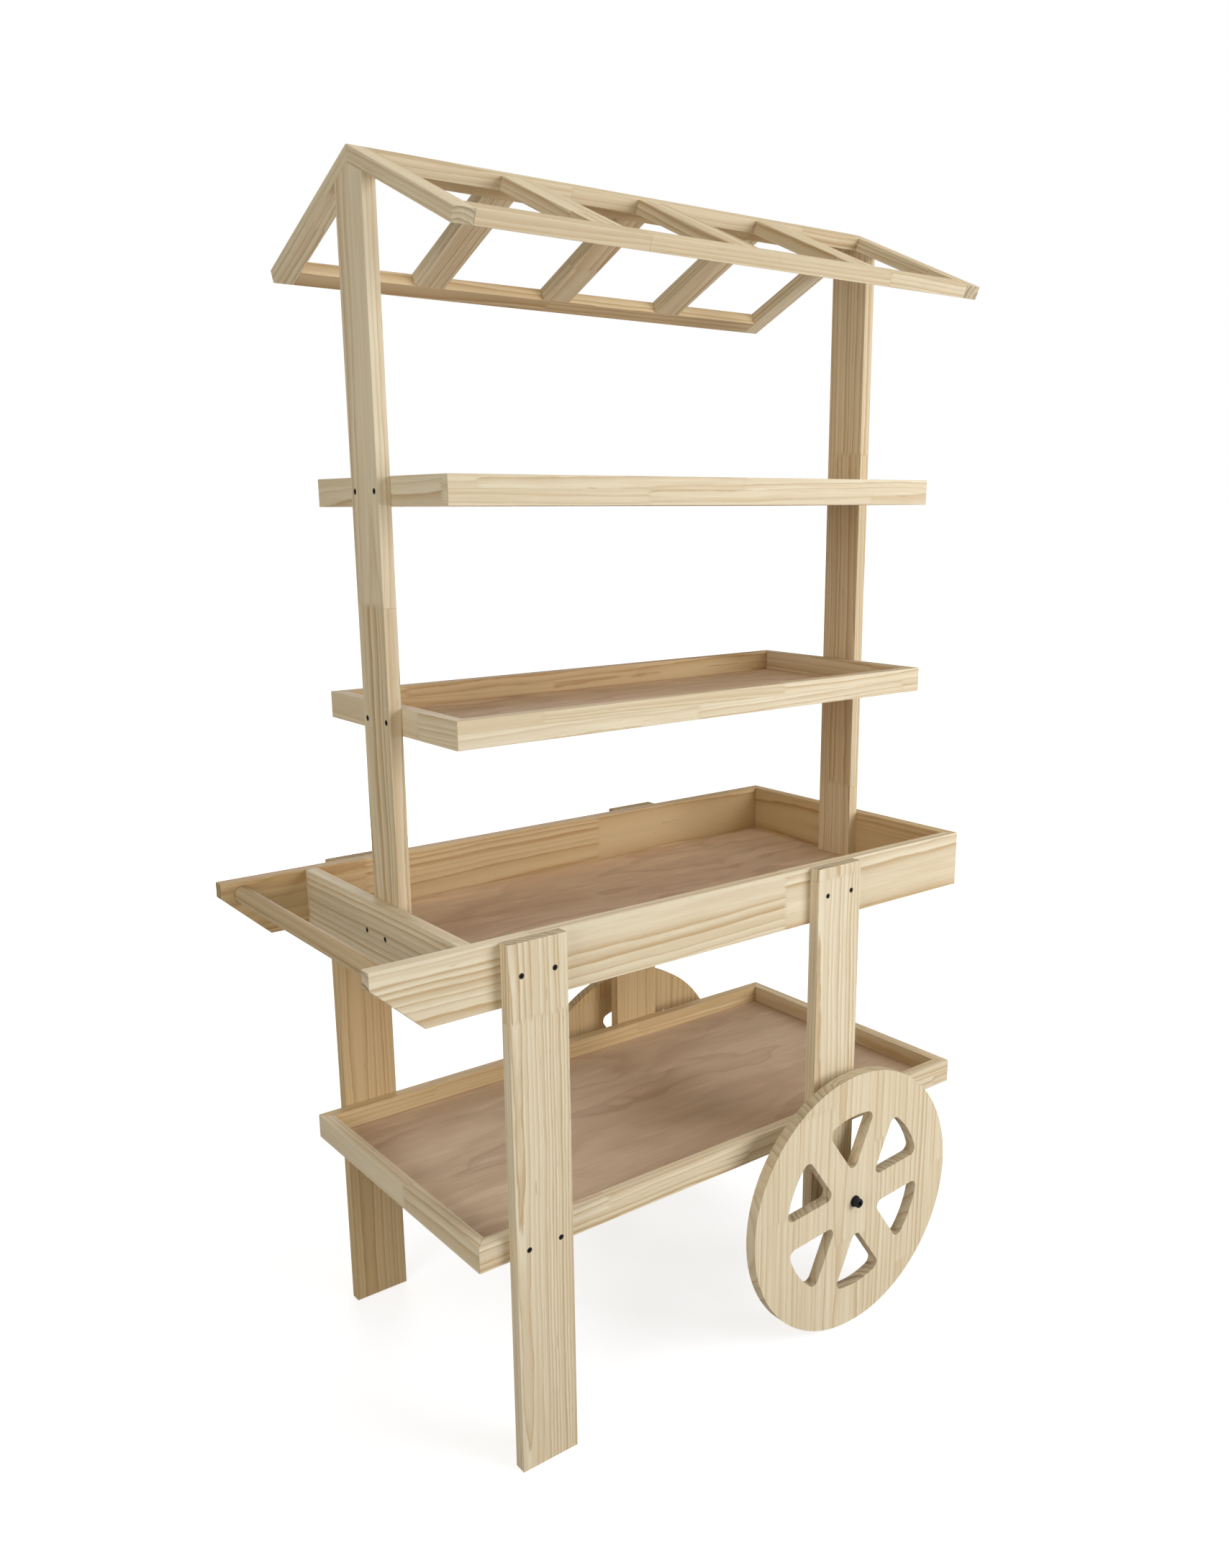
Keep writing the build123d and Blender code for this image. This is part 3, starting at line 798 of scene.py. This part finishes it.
class CART_OT_wheels(bpy.types.Operator):
    """Two wheels glued up from upright staves, with routed cut-outs"""

    bl_idname = "cart.wheels"
    bl_label = "Wheels"

    def execute(self, context):
        wheel = context.scene.cart_wheel
        for side in SIDES:
            node = f"wheel_{side}"
            low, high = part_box(node)
            centre, thick = middle(node), high.y - low.y
            start = Vector((centre.x, low.y, centre.z))
            disc = add_cylinder(f"{node}_turned", start, Y, thick, (high.z - low.z) / 2, 288)
            for i in range(wheel.cutouts):
                cut(disc, cutout_cutter(wheel, centre, thick, wheel.turn + i * 2 * pi / wheel.cutouts))
            cut(disc, add_cylinder("bore", start - Y * thick, Y, 3 * thick, bore_radius(node), 64))
            ease(disc, wheel.arris, 3)
            look = {"Seed": WHEEL_SEED[side], "Stave_length": 0.42, "Stave_width": wheel.stave, "Seam": 0.03}
            # The back wheel's darker, warmer tint is painted shade
            look.update(Warmth=PAINTED_SHADE_WARMTH[side] + 0.07, Ring=0.0115, Figure=0.62, Round=1.0)
            finish(disc, wood_material(node, "pine", centre, Z, X, **look))
            place(disc, f"{side}_wheel", "wheel_pine", node)
        return {"FINISHED"}


# ---- axle hardware ---------------------------------------------------------------------------------------

class CART_OT_axle_hardware(bpy.types.Operator):
    """Socket-head bolts, washers, spacers and nuts of the two axles"""

    bl_idname = "cart.axle_hardware"
    bl_label = "Axle hardware"

    def execute(self, context):
        metal = context.scene.cart_metal
        black = metal_material("black_oxide", metal)
        for side in SIDES:
            for part in ("bolt", "washer", "spacer", "nut"):
                node = f"axle_{part}_{side}"
                obj = ease(merged(node, f"{node}_steel"), metal.edge, 2)
                finish(obj, black)
                place(obj, BODY, "axle_hardware", node)
        return {"FINISHED"}


# ---- screws ----------------------------------------------------------------------------------------------

class CART_OT_screws(bpy.types.Operator):
    """Black wood screws sunk in their counterbores"""

    bl_idname = "cart.screws"
    bl_label = "Screws"

    def execute(self, context):
        metal = context.scene.cart_metal
        black = metal_material("black_screw", metal)
        nodes = sorted(n for n in NODES if n.endswith("_screws"))
        for node in nodes:
            seats = [self.seat(points) for points in separate_solids(node)]
            screws = [self.driven_screw(metal, *seat) for seat in seats]
            bpy.ops.object.select_all(action="DESELECT")
            for screw in screws:
                screw.select_set(True)
            bpy.context.view_layer.objects.active = screws[0]
            bpy.ops.object.join()
            screws[0].name = f"{node}_driven"
            finish(screws[0], black)
            place(screws[0], BODY, "screw_black", node)
        bpy.data.objects.remove(bpy.data.objects["screw_pattern"])
        return {"FINISHED"}

    def seat(self, points):
        """(middle of the head's face, way into the wood, length) of one screw."""
        low, high = Vector(map(min, *points)), Vector(map(max, *points))
        size, centre = high - low, (low + high) / 2
        axis = max(range(3), key=lambda i: size[i])
        sideways = [i for i in range(3) if i != axis]
        rim = [p for p in points if hypot(*(p[i] - centre[i] for i in sideways)) > 0.9 * min(size) / 2]
        head_end = sum(p[axis] - centre[axis] for p in rim)
        way = Vector((0, 0, 0))
        way[axis] = -1 if head_end > 0 else 1
        return centre - way * size[axis] / 2, way, size[axis]

    def driven_screw(self, metal, face, way, long):
        """A copy of the pattern screw, driven in until its head is just below the wood's face."""
        pattern = bpy.data.objects.get("screw_pattern") or self.pattern_screw(metal, long)
        screw = copy_of(pattern, "screw")
        screw.rotation_euler = way.to_track_quat("-Z", "Y").to_euler()
        screw.location = face - way * metal.raised
        return settle(screw)

    def pattern_screw(self, metal, long):
        """Head with a hexagon recess over a shank with a point, the head's face at z = 0."""
        tall, tip = metal.head_height, long * 0.2
        head = add_cylinder("screw_pattern", -Z * tall, Z, tall, metal.head_radius, 40)
        ease(head, metal.head_edge, 3)
        recess = metal.recess_across / 3 ** 0.5
        cut(head, add_cylinder("recess", -Z * metal.recess_depth, Z, 2 * metal.recess_depth, recess, 6))
        shank = add_cylinder("shank", -Z * (long - tip), Z, long - tip - tall, metal.shank_radius, 24)
        bpy.ops.object.select_all(action="DESELECT")
        bpy.ops.mesh.primitive_cone_add(
            vertices=24,
            radius1=metal.shank_radius,
            radius2=0.0003,
            depth=tip,
            location=(0, 0, tip / 2 - long),
            rotation=(pi, 0, 0),
        )
        point = settle(bpy.context.object)
        bpy.ops.object.select_all(action="DESELECT")
        for part in (head, shank, point):
            part.select_set(True)
        bpy.context.view_layer.objects.active = head
        bpy.ops.object.join()
        return head


# ---- stage -----------------------------------------------------------------------------------------------

def area_light(name, place_at, size, power, tint=(1, 1, 1)):
    """A round soft light that looks at the middle of the cart."""
    data = bpy.data.lights.new(name, "AREA")
    data.shape, data.size, data.energy, data.color = "DISK", size, power, tint
    light = bpy.data.objects.new(name, data)
    bpy.context.scene.collection.objects.link(light)
    light.location = place_at
    light.rotation_euler = (STAGE_MIDDLE - Vector(place_at)).to_track_quat("-Z", "Y").to_euler()


class CART_OT_stage(bpy.types.Operator):
    """Pale floor, soft studio light and the camera"""

    bl_idname = "cart.stage"
    bl_label = "Stage"

    def execute(self, context):
        stage = context.scene.cart_stage
        context.scene.view_settings.view_transform = "Standard"
        self.add_floor(stage)
        self.add_sky(stage)
        area_light("key", (1.7, -2.9, 1.6), 2.2, stage.key_light, (0.97, 1.0, 1.07))
        area_light("side", (-3.4, -1.4, 1.7), 2.2, stage.side_light)
        area_light("top", (0.2, -0.5, 4.2), 2.6, stage.top_light)
        area_light("back", (1.4, 3.5, 1.3), 2.4, stage.back_light)
        self.add_camera(stage)
        return {"FINISHED"}

    def add_floor(self, stage):
        """A wide matt floor that fades to white with the distance."""
        bpy.ops.object.select_all(action="DESELECT")
        bpy.ops.mesh.primitive_plane_add(size=80)
        floor = bpy.context.object
        floor.name = "studio_floor"
        material = bpy.data.materials.new("studio_floor")
        material.use_nodes = True
        g = Graph(material.node_tree)
        shader = g.tree.nodes["Principled BSDF"]
        shader.inputs["Base Color"].default_value = rgba(stage.floor)
        shader.inputs["Roughness"].default_value = 0.9
        shader.inputs["Specular IOR Level"].default_value = 0.1
        shader.inputs["Emission Color"].default_value = (1, 1, 1, 1)
        place_on = g.node("ShaderNodeTexCoord").outputs["Object"]
        away = g.node("ShaderNodeVectorMath", {0: place_on}, operation="LENGTH").outputs["Value"]
        glow = g.remap(away, 0.6, 5.0, 0.72, 1.0)
        seen = g.node("ShaderNodeLightPath").outputs["Is Camera Ray"]
        g.tree.links.new(g.math("MULTIPLY", glow, seen), shader.inputs["Emission Strength"])
        finish(floor, material)

    def add_sky(self, stage):
        """Warm light from all round, in front of a white background."""
        world = bpy.data.worlds.new("studio_sky")
        bpy.context.scene.world = world
        world.use_nodes = True
        g = Graph(world.node_tree)
        g.tree.nodes.clear()
        lit = g.node("ShaderNodeBackground", {"Color": (1, 0.96, 0.88, 1), "Strength": stage.sky})
        seen = g.node("ShaderNodeBackground", {"Color": (1, 1, 1, 1), "Strength": 1.0})
        rays = g.node("ShaderNodeLightPath").outputs["Is Camera Ray"]
        both = g.node("ShaderNodeMixShader", {0: rays, 1: lit.outputs[0], 2: seen.outputs[0]})
        g.node("ShaderNodeOutputWorld", {"Surface": both.outputs[0]})

    def add_camera(self, stage):
        """The camera at its place, turned by heading, pitch and roll."""
        data = bpy.data.cameras.new("camera")
        data.sensor_fit, data.sensor_width, data.lens = "HORIZONTAL", 36.0, stage.lens
        data.shift_x, data.shift_y = stage.shift
        camera = bpy.data.objects.new("camera", data)
        bpy.context.scene.collection.objects.link(camera)
        turn = Euler((pi / 2 + stage.pitch, 0, -stage.heading)).to_matrix()
        turn = turn @ Matrix.Rotation(stage.roll, 3, "Z")
        camera.matrix_world = Matrix.Translation(stage.eye) @ turn.to_4x4()
        bpy.context.scene.camera = camera


# ---- add-on ----------------------------------------------------------------------------------------------

OPERATORS = (
    CART_OT_main_tray,
    CART_OT_framed_trays,
    CART_OT_uprights,
    CART_OT_roof,
    CART_OT_handle_bar,
    CART_OT_wheels,
    CART_OT_axle_hardware,
    CART_OT_screws,
    CART_OT_stage,
)


class CART_PT_panel(bpy.types.Panel):
    """Settings and build steps of the push cart"""

    bl_label = "Push Cart"
    bl_idname = "CART_PT_panel"
    bl_space_type = "VIEW_3D"
    bl_region_type = "UI"
    bl_category = "Push Cart"

    def draw(self, context):
        layout = self.layout
        for operator in OPERATORS:
            layout.operator(operator.bl_idname)
        for name, group in SETTINGS.items():
            box = layout.box()
            for key in group.__annotations__:
                box.prop(getattr(context.scene, name), key)


CLASSES = (*SETTINGS.values(), *OPERATORS, CART_PT_panel)


def register():
    for item in CLASSES:
        bpy.utils.register_class(item)
    for name, group in SETTINGS.items():
        setattr(bpy.types.Scene, name, bpy.props.PointerProperty(type=group))


def unregister():
    for name in SETTINGS:
        delattr(bpy.types.Scene, name)
    for item in reversed(CLASSES):
        bpy.utils.unregister_class(item)


def main():
    """Builds every piece in order."""
    register()
    for operator in OPERATORS:
        group, name = operator.bl_idname.split(".")
        getattr(getattr(bpy.ops, group), name)()


if __name__ == "__main__":
    main()
